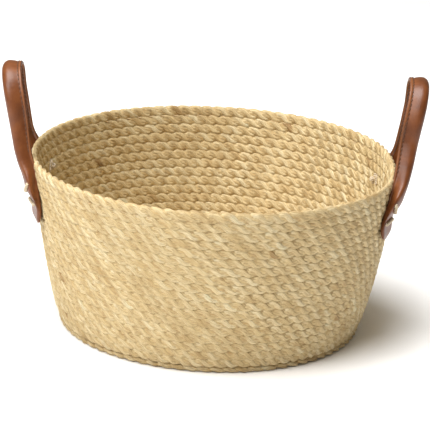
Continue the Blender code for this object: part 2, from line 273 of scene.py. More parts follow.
@dataclass(frozen=True)
class HandleShape:
    """Sizes of one handle.

    Attributes:
        side: Left or right.
        fold_edge: Rows of (height, reach) of the fold's outer edge, above the crease.
        widths: Rows of (height, size) of the section from its stitched edge to its fold.
        top_tilt: Angle in degrees that the strap leans over at the top of the loop.
        tab_shift: How far each tab sits from its place in the CAD model, away from the loop's middle.
        tab_bottom: Height of the tabs' lower ends.
        loop_top: Height of the top of the loop.
        body: The basket that it hangs on.
        tab_width: Width of a tab, which rounds its lower end.
        sunk: How deep the back of the strap is pressed into the rope.
        tip_lift: How far a tab's lower tip curls off the wall.
        tip_length: Height over which the tip curls.
        tip_thin: Height over which the tip gets its full thickness.
        rear_lean: How much further out the rear leg leans.
        lean_from: Height where the rear leg begins to lean.
        lean_length: Height over which it does.
        lean_to: Height where the lean begins to end.
        lean_end: Height over which it ends.
        free_below: How far below the crease the strap leaves the wall.
        free_length: Height over which it leaves the wall.
        turn_length: Height over which its fold turns to face away from the other handle.
        grip_thickness: Thickness of the folded strap at the top.
        arch_foot: Height where the legs end and the arch begins.
        arch_half: Half width of the arch at its foot.
        arch_power: Squareness of the arch, 1 for an ellipse.
        leg_power: Bend of the legs, 1 for straight legs.
        spreads: Rows of (height, size) of the section across its fold.
        station_step: Distance between the stations of the middle line.
    """

    side: Side
    fold_edge: tuple
    widths: tuple
    top_tilt: float
    tab_shift: float
    tab_bottom: float
    loop_top: float
    body: BasketShape = field(default_factory=BasketShape)
    tab_width: float = 0.029
    sunk: float = 0.0008
    tip_lift: float = 0.0028
    tip_length: float = 0.022
    tip_thin: float = 0.008
    rear_lean: float = 0.0045
    lean_from: float = 0.141
    lean_length: float = 0.030
    lean_to: float = 0.215
    lean_end: float = 0.034
    free_below: float = 0.008
    free_length: float = 0.024
    turn_length: float = 0.036
    grip_thickness: float = 0.011
    arch_foot: float = 0.200
    arch_half: float = 0.034
    arch_power: float = 0.83
    leg_power: float = 0.8
    spreads: tuple = (
        (0.1250, 0.0290), (0.1340, 0.0276), (0.1445, 0.0232), (0.1550, 0.0182),
        (0.1660, 0.0140), (0.1780, 0.0114), (0.1900, 0.0108),
    )
    station_step: float = 0.0008

    @property
    def pivot(self) -> tuple[float, float, float]:
        """Place of the handle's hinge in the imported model."""
        joint = f"{self.side.label}_fold"
        found = next(j for j in frame["joints"] if j["name"] == joint)
        return tuple(found["pos_m"])

    def read(self, rows: tuple, height: np.ndarray) -> np.ndarray:
        """Value of a table of (height, value) rows at each height."""
        heights, values = zip(*rows)
        return np.interp(height, heights, values)

    def width(self, height: np.ndarray) -> np.ndarray:
        """Size of the section from its stitched edge to its fold, thinner at the tab's lower end."""
        taper = 0.45 + 0.55 * smooth((height - self.tab_bottom) / self.tip_thin)
        return self.read(self.widths, height) * taper

    def spread(self, height: np.ndarray) -> np.ndarray:
        """Size of the section across its fold, with the tab's rounded lower end."""
        rise = np.clip((height - self.tab_bottom) / (self.tab_width / 2), 0.0, 1.0)
        round_end = np.sqrt(np.clip(1 - (1 - rise) ** 2, 0.0, 1.0))
        return self.read(self.spreads, height) * np.maximum(round_end, 0.08)

    def reach(self, height: np.ndarray) -> np.ndarray:
        """Distance of the section's middle from the YZ plane, above the crease."""
        return self.read(self.fold_edge, height) - self.width(height) / 2

    def wall_place(self, height: np.ndarray, offset: np.ndarray) -> Points:
        """Points on the wall under the middle of the front tab."""
        return self.body.on_wall(self.side, End.FRONT, self.tab_shift, height, offset)

    def tab_azimuth(self) -> float:
        """Angle of this handle's tabs from the line through both handles."""
        foot = self.wall_place(self.body.crease_height, 0.0)
        return math.atan2(abs(float(foot[1])), abs(float(foot[0])))

    def centre_line(self) -> Points:
        """Evenly spaced points from the front tab's tip over the loop to the rear tab's tip."""
        crease = self.body.crease_height
        foot = abs(float(self.wall_place(crease, 0.0)[1]))
        tab = np.linspace(self.tab_bottom, crease, 160)
        leg = np.linspace(0, 1, 200)[1:]
        arch = np.linspace(0, math.pi / 2, 400)[1:]
        rise = self.loop_top - self.grip_thickness / 2 - self.arch_foot
        heights = np.concatenate([
            tab,
            crease + (self.arch_foot - crease) * leg,
            self.arch_foot + rise * np.sin(arch) ** self.arch_power,
        ])
        half = np.concatenate([
            np.full_like(tab, foot),
            foot + (self.arch_half - foot) * leg ** self.leg_power,
            self.arch_half * np.clip(np.cos(arch), 0, 1) ** self.arch_power,
        ])
        curl = self.tip_lift * (1 - smooth((heights - self.tab_bottom) / self.tip_length))
        on_tab = self.wall_place(heights, self.width(heights) / 2 - self.sunk + curl)
        above = np.stack([self.side.value * self.reach(heights), -half, heights], axis=-1)
        free = smooth((heights - crease + self.free_below) / self.free_length)[:, None]
        front = on_tab + (above - on_tab) * free
        rear = front[::-1][1:] * np.array([1.0, -1.0, 1.0])
        lean = smooth((rear[:, 2] - self.lean_from) / self.lean_length)
        lean = lean * (1 - smooth((rear[:, 2] - self.lean_to) / self.lean_end))
        rear[:, 0] += self.side.value * self.rear_lean * lean
        return self.evened(np.concatenate([front, rear]))

    def evened(self, line: Points) -> Points:
        """The line again with evenly spaced points, its small corners rounded."""
        length = run_length(line)
        count = int(round(length[-1] / self.station_step))
        even = np.linspace(0, length[-1], count + 1)
        return relaxed(rows_at(even, length, line), 40)

    def axes(self, line: Points) -> tuple[Points, Points]:
        """Directions across the strap at each point of its centre line.

        Args:
            line: The centre line.

        Returns:
            The directions from the stitched edge to the fold, and from one face to the other.
        """
        along = unit(np.gradient(line, axis=0))
        azimuth = self.tab_azimuth()
        side = self.side.value
        radial = np.stack(
            [
                np.full(len(line), side * math.cos(azimuth)),
                np.sign(line[:, 1]) * math.sin(azimuth),
                np.zeros(len(line)),
            ],
            axis=-1,
        )
        tilt = math.radians(self.top_tilt)
        straight = np.array([side * math.cos(tilt), 0.0, -math.sin(tilt)])
        turn = smooth((line[:, 2] - self.body.crease_height + self.free_below) / self.turn_length)[:, None]
        outward = radial + (straight - radial) * turn
        outward = unit(outward - along * np.sum(outward * along, axis=1, keepdims=True))
        face = np.cross(along, outward) * -side
        return outward, face


# ------------------------------------------------------------------------------------------ materials


class Shading:
    """Builds one node material, a few linked nodes at a time."""

    def __init__(self, name: str) -> None:
        """Starts a material with its principled shader."""
        self.material = bpy.data.materials.new(name)
        self.material.use_nodes = True
        self.tree = self.material.node_tree
        self.shader = self.tree.nodes["Principled BSDF"]

    def node(self, kind: str, **settings: object) -> bpy.types.Node:
        """A new node with its settings."""
        made = self.tree.nodes.new(kind)
        for name, value in settings.items():
            setattr(made, name, value)
        return made

    def link(self, source: object, target: object) -> None:
        """Joins two sockets."""
        self.tree.links.new(source, target)

    def fill(self, socket: object, value: object) -> None:
        """Links a socket or sets a plain value."""
        if isinstance(value, bpy.types.NodeSocket):
            self.link(value, socket)
        else:
            socket.default_value = value

    def attribute(self, name: str) -> object:
        """Value of one of the mesh's attributes."""
        return self.node("ShaderNodeAttribute", attribute_name=name).outputs["Fac"]

    def object_place(self) -> object:
        """Place in the object."""
        return self.node("ShaderNodeTexCoord").outputs["Object"]

    def strand_place(self) -> object:
        """Metres along a strand and share round it."""
        return self.node("ShaderNodeUVMap", uv_map="Strand").outputs["UV"]

    def scaled(self, place: object, scale: Sequence[float]) -> object:
        """A place scaled along each of its axes."""
        made = self.node("ShaderNodeMapping")
        made.inputs["Scale"].default_value = scale
        self.link(place, made.inputs["Vector"])
        return made.outputs["Vector"]

    def noise(self, place: object, scale: float, detail: float = 2.0, rough: float = 0.5) -> object:
        """Cloudy noise, from 0 to 1."""
        made = self.node("ShaderNodeTexNoise")
        self.link(place, made.inputs["Vector"])
        made.inputs["Scale"].default_value = scale
        made.inputs["Detail"].default_value = detail
        made.inputs["Roughness"].default_value = rough
        return made.outputs["Fac"]

    def cells(self, place: object, scale: float, feature: str = "F1") -> object:
        """Distance to the middle of the nearest cell."""
        made = self.node("ShaderNodeTexVoronoi", feature=feature)
        self.link(place, made.inputs["Vector"])
        made.inputs["Scale"].default_value = scale
        return made.outputs["Distance"]

    def math(self, kind: str, first: object, second: object = 0.0) -> object:
        """One sum of two values or sockets."""
        made = self.node("ShaderNodeMath", operation=kind)
        self.fill(made.inputs[0], first)
        self.fill(made.inputs[1], second)
        return made.outputs[0]

    def between(self, value: object, low: float, high: float, to_low: float, to_high: float) -> object:
        """A value moved from one range to another, clamped at both ends."""
        made = self.node("ShaderNodeMapRange", clamp=True)
        self.link(value, made.inputs["Value"])
        for name, number in zip(
            ("From Min", "From Max", "To Min", "To Max"), (low, high, to_low, to_high)
        ):
            made.inputs[name].default_value = number
        return made.outputs["Result"]

    def ramp(self, value: object, stops: Sequence[tuple[float, Sequence[float]]]) -> object:
        """Colour of a value, from stops of (place, colour)."""
        made = self.node("ShaderNodeValToRGB")
        line = made.color_ramp
        while len(line.elements) < len(stops):
            line.elements.new(0.5)
        for element, (place, colour) in zip(line.elements, stops):
            element.position = place
            element.color = (*colour, 1.0)
        self.link(value, made.inputs["Fac"])
        return made.outputs["Color"]

    def mixed(self, share: object, first: object, second: object, kind: str = "MIX") -> object:
        """Two colours mixed, or put together in another way."""
        made = self.node("ShaderNodeMix", data_type="RGBA", blend_type=kind)
        self.fill(made.inputs["Factor"], share)
        for socket, value in zip((made.inputs[6], made.inputs[7]), (first, second)):
            self.fill(socket, (*value, 1.0) if isinstance(value, tuple) else value)
        return made.outputs[2]

    def bump(self, height: object, distance: float, strength: float = 1.0, under: object = None) -> object:
        """Normal of a fine relief, on top of another one if it is given."""
        made = self.node("ShaderNodeBump")
        self.link(height, made.inputs["Height"])
        made.inputs["Distance"].default_value = distance
        made.inputs["Strength"].default_value = strength
        if under is not None:
            self.link(under, made.inputs["Normal"])
        return made.outputs["Normal"]

    def finish(self, colour: object, roughness: object, normal: object) -> bpy.types.Material:
        """Joins colour, roughness and normal to the shader."""
        self.link(colour, self.shader.inputs["Base Color"])
        self.fill(self.shader.inputs["Roughness"], roughness)
        self.link(normal, self.shader.inputs["Normal"])
        return self.material


@dataclass(frozen=True)
class StrawFinish:
    """Dry leaf: pale cream to tan strips with fine fibres along each strand, and painted shade where strands
    and courses meet.
    """

    name: str = "straw"
    stops: tuple = (
        (0.00, (0.300, 0.180, 0.068)),
        (0.12, (0.430, 0.290, 0.120)),
        (0.34, (0.550, 0.410, 0.200)),
        (0.60, (0.630, 0.500, 0.275)),
        (0.84, (0.680, 0.575, 0.355)),
        (1.00, (0.610, 0.575, 0.370)),
    )
    fibre_across: float = 15.0
    fibre_along: float = 70.0
    line_width: float = 0.030
    line_depth: float = 0.42
    crevice_depth: float = 0.24
    bump_depth: float = 0.0007

    def build(self) -> bpy.types.Material:
        """Builds the material."""
        make = Shading(self.name)
        place = make.strand_place()
        along, across = self.fibre_along, self.fibre_across
        fibres = make.noise(make.scaled(place, (along, across, 1)), 1.0, 3, 0.6)
        fine = make.noise(make.scaled(place, (2.4 * along, 3.0 * across, 1)), 1.0, 2, 0.6)
        folds = make.noise(make.scaled(place, (45.0, 6.0, 1)), 1.0, 1, 0.4)
        patches = make.noise(make.object_place(), 42.0, 3, 0.6)
        tone = make.math("ADD", make.attribute("tone"), make.between(patches, 0.3, 0.7, -0.14, 0.12))
        tone = make.math("ADD", tone, make.between(fibres, 0.3, 0.7, -0.20, 0.15))
        colour = make.ramp(tone, self.stops)
        lines = make.math("ABSOLUTE", make.math("SUBTRACT", fibres, 0.5))
        line = make.between(lines, 0.0, self.line_width, 1 - self.line_depth, 1.0)
        hair = make.between(fine, 0.36, 0.52, 0.68, 1.05)
        # Darker fibre lines, the leaf's own colour; the painted shade is multiplied in below.
        shade = make.math("MULTIPLY", line, hair)
        # Painted shade: darker where strands and courses meet, from the mesh's shade mark.
        painted_crevice_shade = make.between(make.attribute("crevice"), 0.35, 1.0, 1.0, 1 - self.crevice_depth)
        shade = make.math("MULTIPLY", shade, painted_crevice_shade)
        # The fibre lines and the painted shade darken blue most and red least, so they turn warmer.
        warm = make.node("ShaderNodeCombineColor")
        for channel, power in (("Red", 0.8), ("Green", 1.0), ("Blue", 1.25)):
            make.link(make.math("POWER", shade, power), warm.inputs[channel])
        colour = make.mixed(1.0, colour, warm.outputs["Color"], "MULTIPLY")
        height = make.math("ADD", make.math("MULTIPLY", line, 0.6), make.math("MULTIPLY", fine, 0.5))
        height = make.math("ADD", height, make.math("MULTIPLY", folds, 1.5))
        normal = make.bump(height, self.bump_depth, 0.8)
        return make.finish(colour, make.between(fibres, 0.3, 0.7, 0.78, 0.58), normal)


@dataclass(frozen=True)
class LeatherFinish:
    """Smooth oiled leather: warm brown, a fine grain, pale wear on the tabs' edges, a painted highlight along
    the flange ridge, painted shade in the gap between the stitched edges and along the stitches, and a soft
    sheen.
    """

    name: str = "leather"
    deep: tuple = (0.070, 0.019, 0.004)
    middle: tuple = (0.132, 0.037, 0.008)
    light: tuple = (0.205, 0.064, 0.015)
    worn: tuple = (0.320, 0.135, 0.050)
    burnished: tuple = (0.045, 0.016, 0.008)
    grain_scale: float = 1500.0
    coat: float = 0.10
    coat_roughness: float = 0.30
    specular: float = 0.38

    def build(self) -> bpy.types.Material:
        """Builds the material."""
        make = Shading(self.name)
        place = make.object_place()
        mottle = make.noise(place, 55.0, 4, 0.62)
        pull_up = make.noise(make.scaled(make.strand_place(), (22.0, 2.2, 1)), 1.0, 3, 0.55)
        tone = make.math("ADD", make.math("MULTIPLY", mottle, 0.6), make.math("MULTIPLY", pull_up, 0.4))
        colour = make.ramp(tone, ((0.30, self.deep), (0.50, self.middle), (0.70, self.light)))
        edge = make.attribute("edge")
        # Paler edges: pale wear on the tabs' side edges and a painted highlight along the flange ridge.
        colour = make.mixed(make.math("MULTIPLY", edge, 0.55), colour, self.worn)
        # Painted shade: darker in the gap between the two stitched edges and along the row of stitches.
        colour = make.mixed(make.attribute("dark"), colour, self.burnished)
        grain = make.cells(place, self.grain_scale, "SMOOTH_F1")
        pores = make.noise(place, 3.2 * self.grain_scale, 2, 0.5)
        height = make.math("ADD", grain, make.math("MULTIPLY", pores, 0.25))
        creases = make.noise(make.scaled(make.strand_place(), (420.0, 9.0, 1)), 1.0, 2, 0.5)
        soft = make.bump(creases, 0.00035, 0.28)
        normal = make.bump(height, 0.00016, 0.35, soft)
        rough = make.math("ADD", make.between(mottle, 0.3, 0.7, 0.36, 0.46), make.math("MULTIPLY", edge, 0.1))
        for name, value in (
            ("Coat Weight", self.coat),
            ("Coat Roughness", self.coat_roughness),
            ("Specular IOR Level", self.specular),
        ):
            make.shader.inputs[name].default_value = value
        return make.finish(colour, rough, normal)


@dataclass(frozen=True)
class ThreadFinish:
    """Twisted thread or cord with fibre streaks round it."""

    name: str
    dark: tuple
    light: tuple
    roughness: float = 0.8
    twist: float = 700.0
    depth: float = 0.00012

    def build(self) -> bpy.types.Material:
        """Builds the material."""
        make = Shading(self.name)
        place = make.strand_place()
        streaks = make.noise(make.scaled(place, (0.6 * self.twist, 6.0, 1)), 1.0, 3, 0.6)
        fuzz = make.noise(make.object_place(), 2600.0, 2, 0.6)
        tone = make.math("ADD", make.math("MULTIPLY", streaks, 0.7), make.math("MULTIPLY", fuzz, 0.3))
        colour = make.ramp(tone, ((0.30, self.dark), (0.62, self.light)))
        plies = make.node("ShaderNodeTexWave", wave_type="BANDS", bands_direction="DIAGONAL")
        make.link(make.scaled(place, (self.twist, 1.0, 1)), plies.inputs["Vector"])
        plies.inputs["Scale"].default_value = 0.5
        plies.inputs["Distortion"].default_value = 0.6
        height = make.math("ADD", plies.outputs["Fac"], make.math("MULTIPLY", streaks, 0.6))
        return make.finish(colour, self.roughness, make.bump(height, self.depth, 0.6))


@dataclass(frozen=True)
class FloorFinish:
    """Plain pale studio floor with a barely visible tooth."""

    name: str = "studio_floor"
    colour: tuple = (0.96, 0.965, 0.975)

    def build(self) -> bpy.types.Material:
        """Builds the material."""
        make = Shading(self.name)
        place = make.object_place()
        tooth = make.noise(place, 90.0, 3, 0.5)
        colour = make.ramp(tooth, ((0.0, self.colour), (1.0, tuple(c + 0.01 for c in self.colour))))
        return make.finish(colour, 0.9, make.bump(tooth, 0.0002, 0.1))


FINISHES = {
    Slot.STRAW: StrawFinish(),
    Slot.LEATHER: LeatherFinish(),
    Slot.ROPE: ThreadFinish("rope", (0.36, 0.25, 0.13), (0.60, 0.46, 0.28), 0.9, 260.0, 0.0004),
    Slot.BROWN_THREAD: ThreadFinish("brown_thread", (0.048, 0.019, 0.008), (0.130, 0.052, 0.022), 0.6),
    Slot.LACING_CORD: ThreadFinish("lacing_cord", (0.36, 0.27, 0.17), (0.70, 0.60, 0.45), 0.85, 900.0),
    Slot.SEWING_THREAD: ThreadFinish("sewing_thread", (0.42, 0.29, 0.14), (0.66, 0.50, 0.29), 0.8),
}


class FinishShelf:
    """Builds each material once and hands it out."""

    def __init__(self) -> None:
        """Starts with no material made."""
        self.made: dict[Slot, bpy.types.Material] = {}

    def get(self, slot: Slot) -> bpy.types.Material:
        """The material of a slot, built the first time."""
        if slot not in self.made:
            self.made[slot] = FINISHES[slot].build()
        return self.made[slot]


# --------------------------------------------------------------------------------------------- meshes


@dataclass
class Patch:
    """One grid laid along and round a path.

    Attributes:
        along: Number of segments along the path.
        around: Number of segments round it.
        place: Gives the points from the shares along and around.
        length: Length of the path in metres, which scales the UV map.
        marks: Further attributes, each from the shares along and around.
        capped: Whether its two ends are closed with faces.
    """

    along: int
    around: int
    place: Place
    length: float
    marks: dict[str, Callable[[np.ndarray, np.ndarray], np.ndarray]] = field(default_factory=dict)
    capped: bool = False

    def mesh(self) -> bpy.types.Mesh:
        """Lays the grid, with its UV map and its attributes."""
        bm = bmesh.new()
        bmesh.ops.create_grid(bm, x_segments=self.along, y_segments=self.around, size=1)
        mesh = bpy.data.meshes.new("patch")
        bm.to_mesh(mesh)
        bm.free()
        flat = np.empty(len(mesh.vertices) * 3)
        mesh.vertices.foreach_get("co", flat)
        grid = flat.reshape(-1, 3)
        along = np.clip((grid[:, 0] + 1) / 2, 0, 1)
        around = np.clip((grid[:, 1] + 1) / 2, 0, 1)
        mesh.vertices.foreach_set("co", self.place(along, around).ravel())
        corner = np.empty(len(mesh.loops), int)
        mesh.loops.foreach_get("vertex_index", corner)
        uv = np.stack([along[corner] * self.length, around[corner]], axis=-1)
        mesh.uv_layers.new(name="Strand").data.foreach_set("uv", uv.ravel())
        for name, rule in self.marks.items():
            values = np.broadcast_to(rule(along, around), along.shape).astype(np.float32)
            mesh.attributes.new(name, "FLOAT", "POINT").data.foreach_set("value", values)
        return mesh


class Workshop:
    """Turns patches into finished pieces."""

    weld: float = 2e-7

    def __init__(self, shelf: FinishShelf) -> None:
        """Keeps the shelf of materials."""
        self.shelf = shelf

    def piece(self, name: str, patches: Sequence[Patch], slot: Slot, angle: float = 60.0) -> bpy.types.Object:
        """One object from several patches.

        Args:
            name: Name of the piece.
            patches: The grids that make it.
            slot: Material slot of the record.
            angle: Edges sharper than this many degrees stay sharp.

        Returns:
            The new object, at the origin.
        """
        bm = bmesh.new()
        for patch in patches:
            mesh = patch.mesh()
            first = len(bm.verts)
            bm.from_mesh(mesh)
            bpy.data.meshes.remove(mesh)
            bm.verts.ensure_lookup_table()
            bmesh.ops.remove_doubles(bm, verts=bm.verts[first:], dist=self.weld)
            if patch.capped:
                bm.verts.ensure_lookup_table()
                open_edges = [e for v in bm.verts[first:] for e in v.link_edges if e.is_boundary]
                bmesh.ops.holes_fill(bm, edges=list(set(open_edges)), sides=0)
        bmesh.ops.recalc_face_normals(bm, faces=bm.faces)
        made = bpy.data.meshes.new(name)
        bm.to_mesh(made)
        bm.free()
        made.shade_smooth()
        made.set_sharp_from_angle(angle=math.radians(angle))
        made.materials.append(self.shelf.get(slot))
        thing = bpy.data.objects.new(name, made)
        bpy.context.scene.collection.objects.link(thing)
        log.info("%s: %d faces", name, len(made.polygons))
        return thing


def transported(line: Points, closed: bool) -> tuple[Points, Points]:
    """Two directions across a path that turn as little as possible along it.

    Args:
        line: The path.
        closed: Whether its last point joins its first.

    Returns:
        The two directions at each point.
    """
    if closed:
        along = unit(np.roll(line, -1, axis=0) - np.roll(line, 1, axis=0))
    else:
        along = unit(np.gradient(line, axis=0))
    start = np.cross(along[0], [0.31, 0.55, 0.77])
    across = [unit(start[None])[0]]
    for tangent in along[1:]:
        turned = across[-1] - tangent * np.dot(across[-1], tangent)
        across.append(unit(turned[None])[0])
    first = np.array(across)
    return first, np.cross(along, first)


@dataclass
class Cord:
    """Round cord along a dense path, plain or laid up from several plies.

    Attributes:
        line: The path.
        radius: Radius of the whole cord.
        plies: Number of plies.
        lay: Length of one full turn of the plies.
        closed: Whether the cord closes on itself.
        around: Number of faces round each ply.
        ply_reach: Distance of a ply's middle from the cord's, as a share of the radius.
        ply_size: Radius of a ply as a share of the cord's.
    """

    line: Points
    radius: float
    plies: int = 1
    lay: float = 0.006
    closed: bool = False
    around: int = 8
    ply_reach: float = 0.52
    ply_size: float = 0.54

    def patches(self) -> list[Patch]:
        """One patch for each ply."""
        line = np.vstack([self.line, self.line[:1]]) if self.closed else self.line
        first, second = transported(self.line, self.closed)
        if self.closed:
            first = np.vstack([first, first[:1]])
            second = np.vstack([second, second[:1]])
        length = run_length(line)
        turns = round(length[-1] / self.lay) if self.closed else length[-1] / self.lay
        off = 0.0 if self.plies == 1 else self.radius * self.ply_reach
        size = self.radius if self.plies == 1 else self.radius * self.ply_size
        made = []
        for ply in range(self.plies):

            def place(along: np.ndarray, around: np.ndarray, ply: int = ply) -> Points:
                """Points of one ply, its two ends rounded unless the cord is closed."""
                at = along * length[-1]
                centre, n, b = (rows_at(at, length, rows) for rows in (line, first, second))
                turn = (2 * math.pi * turns * along + 2 * math.pi * ply / self.plies)[:, None]
                angle = (2 * math.pi * around)[:, None]
                end = np.ones_like(along)
                if not self.closed:
                    near = np.minimum(at, length[-1] - at) / size
                    end = np.sqrt(np.clip(1 - (1 - np.clip(near, 0, 1)) ** 2, 0.02, 1))
                middle = centre + off * (np.cos(turn) * n + np.sin(turn) * b)
                return middle + (size * end)[:, None] * (np.cos(angle) * n + np.sin(angle) * b)

            made.append(Patch(len(line) - 1, self.around, place, float(length[-1]), capped=not self.closed))
        return made


def rounded(corners: Points, bend: float, closed: bool, step: float = 0.0006) -> Points:
    """Dense path along straight runs with rounded corners.

    Args:
        corners: The corners of the path.
        bend: How widely the corners are rounded.
        closed: Whether the path closes on itself.
        step: Distance between its points.

    Returns:
        The evenly stepped path.
    """
    ring = np.vstack([corners, corners[:1]]) if closed else corners
    length = run_length(ring)
    even = np.linspace(0, length[-1], int(length[-1] / step) + 1)
    line = rows_at(even, length, ring)
    times = int((bend / step) ** 2)
    if not closed:
        return relaxed(line, times)
    line = line[:-1]
    for _ in range(times):
        line = 0.5 * line + 0.25 * (np.roll(line, 1, axis=0) + np.roll(line, -1, axis=0))
    return line


# ----------------------------------------------------------------------------------------- rope body


@dataclass(frozen=True)
class RopeLay:
    """How two flattened strands wind round each other in one course.

    Attributes:
        lay: Length of one full turn of the twist.
        swing_out: How far a strand's middle moves across the wall.
        swing_up: How far it moves along the wall.
        half_out: Half size of a strand across the wall.
        half_up: Half size of a strand along the wall.
        press_out: How much thicker a strand is where it passes between the faces.
        press_up: How much taller it is where it is pressed flat on a face.
        heart_out: Half size of the hidden core across the wall.
        heart_up: Half size of the core along the wall.
        heart_step: Distance between the core's stations.
        steps_per_lay: Stations of a strand in one turn of the twist.
        around: Faces round a strand.
        drift: How far one course's twist runs ahead or behind, in radians.
        shared_drift: The same for all the courses together.
        uneven: Change of a strand's thickness along it.
        three_lobes: Height of three ridges round a strand.
        five_lobes: Height of five finer ridges.
        squareness: Flatness of a strand's faces, 1 for an ellipse.
    """

    lay: float = 0.0235
    swing_out: float = 0.00090
    swing_up: float = 0.00320
    half_out: float = 0.00200
    half_up: float = 0.00240
    press_out: float = 0.00030
    press_up: float = 0.00160
    heart_out: float = 0.0022
    heart_up: float = 0.0047
    heart_step: float = 0.010
    steps_per_lay: int = 12
    around: int = 12
    drift: float = 0.30
    shared_drift: float = 0.8
    uneven: float = 0.07
    three_lobes: float = 0.055
    five_lobes: float = 0.040
    squareness: float = 0.75


@dataclass(frozen=True)
class LeafTones:
    """How the shade of the leaf changes, from 0 for tan to 1 for cream.

    Attributes:
        middle: The usual shade.
        spread: How much one visible run of a strand differs from the next.
        dark_share: Share of the runs that are darker.
        dark_step: How much darker they are.
        slow: Slower change along a strand.
        join: Last share of a run in which it passes into the next.
        heart: Shade of the hidden core.
        tucked: Shade of the rope's tucked end.
    """

    middle: float = 0.58
    spread: float = 0.11
    dark_share: float = 0.06
    dark_step: float = 0.20
    slow: float = 0.09
    join: float = 0.30
    heart: float = 0.38
    tucked: float = 0.42


TONES = LeafTones()


@dataclass
class Course:
    """One course of rope: a closed round or a spiral, as a middle line with its own axes.

    Attributes:
        middle: Gives centre, outward and upward directions from the share along.
        length: Length of the middle line.
        seed: Seed of its wander and its tones.
        lays: Number of full turns of the twist.
        rope: The rope that it is made of.
        closed: Whether it closes on itself.
    """

    middle: Callable[[np.ndarray], tuple[Points, Points, Points]]
    length: float
    seed: int
    lays: int
    rope: RopeLay
    closed: bool = True

    def phase(self, along: np.ndarray, strand: int) -> np.ndarray:
        """Angle of a strand round the rope, 0 where it lies on the outer face."""
        drift = self.rope.drift * wander(along, self.seed, (3, 7, 11, 19))
        drift = drift + self.rope.shared_drift * wander(along, 9, (2, 5, 9))
        start = 0.5 * math.pi * self.seed
        return -(2 * math.pi * self.lays * along + start + drift) + math.pi * strand

    def tone(self, along: np.ndarray, strand: int) -> np.ndarray:
        """Shade of the leaf: one for each visible run, on top of slower changes along the strand."""
        turns = self.phase(along, strand) / math.pi + 0.5
        half_turn = np.floor(turns).astype(int)
        first = half_turn.min()
        chance = np.random.default_rng(1000 + 2 * self.seed + strand)
        count = half_turn.max() - first + 2
        runs = chance.normal(0.0, TONES.spread, count)
        runs = np.where(chance.random(count) < TONES.dark_share, runs - TONES.dark_step, runs)
        here = half_turn - first
        share = smooth((turns - half_turn - (1 - TONES.join)) / TONES.join)
        run = runs[here] * (1 - share) + runs[here + 1] * share
        slow = TONES.slow * wander(along, 77 + 2 * self.seed + strand, (2, 5, 9))
        return np.clip(TONES.middle + run + slow, 0.02, 0.98)

    def strand(self, strand: int) -> Patch:
        """One of the two strands.

        Args:
            strand: Its number, 0 or 1.

        Returns:
            Its patch, with the leaf's tone and the shade of its crevices.
        """
        rope = self.rope
        chance = np.random.default_rng(500 + 2 * self.seed + strand)
        lobe_turn = chance.uniform(0, 2 * math.pi, 3)

        def place(along: np.ndarray, around: np.ndarray) -> Points:
            """Points of the strand, ridged and flattened where it is pressed."""
            centre, outward, upward = self.middle(along)
            phase = self.phase(along, strand)
            size = 1 + rope.uneven * wander(along, 300 + 2 * self.seed + strand, (13, 23, 41))
            angle = 2 * math.pi * around
            turn = 2 * math.pi * self.lays * along
            lobes = 1 + rope.three_lobes * np.sin(3 * angle + 2 * turn + lobe_turn[0])
            lobes += rope.five_lobes * np.sin(5 * angle - 3 * turn + lobe_turn[1])
            flat = np.abs(np.cos(angle)) ** rope.squareness * np.sign(np.cos(angle))
            thick = (rope.half_out + rope.press_out * np.sin(phase) ** 2) * size * lobes
            tall = (rope.half_up + rope.press_up * np.cos(phase) ** 2) * size * lobes
            out = rope.swing_out * np.cos(phase) + thick * flat
            up = rope.swing_up * np.sin(phase) + tall * np.sin(angle)
            return centre + outward * out[:, None] + upward * up[:, None]

        def tone(along: np.ndarray, around: np.ndarray) -> np.ndarray:
            """Shade of the leaf, the same all round."""
            return self.tone(along, strand)

        def crevice(along: np.ndarray, around: np.ndarray) -> np.ndarray:
            """Painted shade: 1 deep between two courses or strands, 0 on the open faces."""
            edge = np.abs(np.sin(2 * math.pi * around)) ** 3
            return edge * (0.55 + 0.45 * np.sin(self.phase(along, strand)) ** 2)

        return Patch(
            self.lays * rope.steps_per_lay,
            rope.around,
            place,
            self.length,
            {"tone": tone, "crevice": crevice},
            capped=not self.closed,
        )

    def heart(self) -> Patch:
        """Flattened core between the strands, which closes the weave to light."""

        def place(along: np.ndarray, around: np.ndarray) -> Points:
            """Points of the core."""
            centre, outward, upward = self.middle(along)
            angle = 2 * math.pi * around
            out = self.rope.heart_out * np.cos(angle)
            up = self.rope.heart_up * np.sin(angle)
            return centre + outward * out[:, None] + upward * up[:, None]

        def even(along: np.ndarray, around: np.ndarray) -> np.ndarray:
            """One shade all over."""
            return np.full_like(along, TONES.heart)

        count = max(8, round(self.length / self.rope.heart_step))
        marks = {"tone": even, "crevice": even}
        return Patch(count, 8, place, self.length, marks, capped=not self.closed)

    def patches(self) -> list[Patch]:
        """The two strands and the heart."""
        return [self.strand(0), self.strand(1), self.heart()]


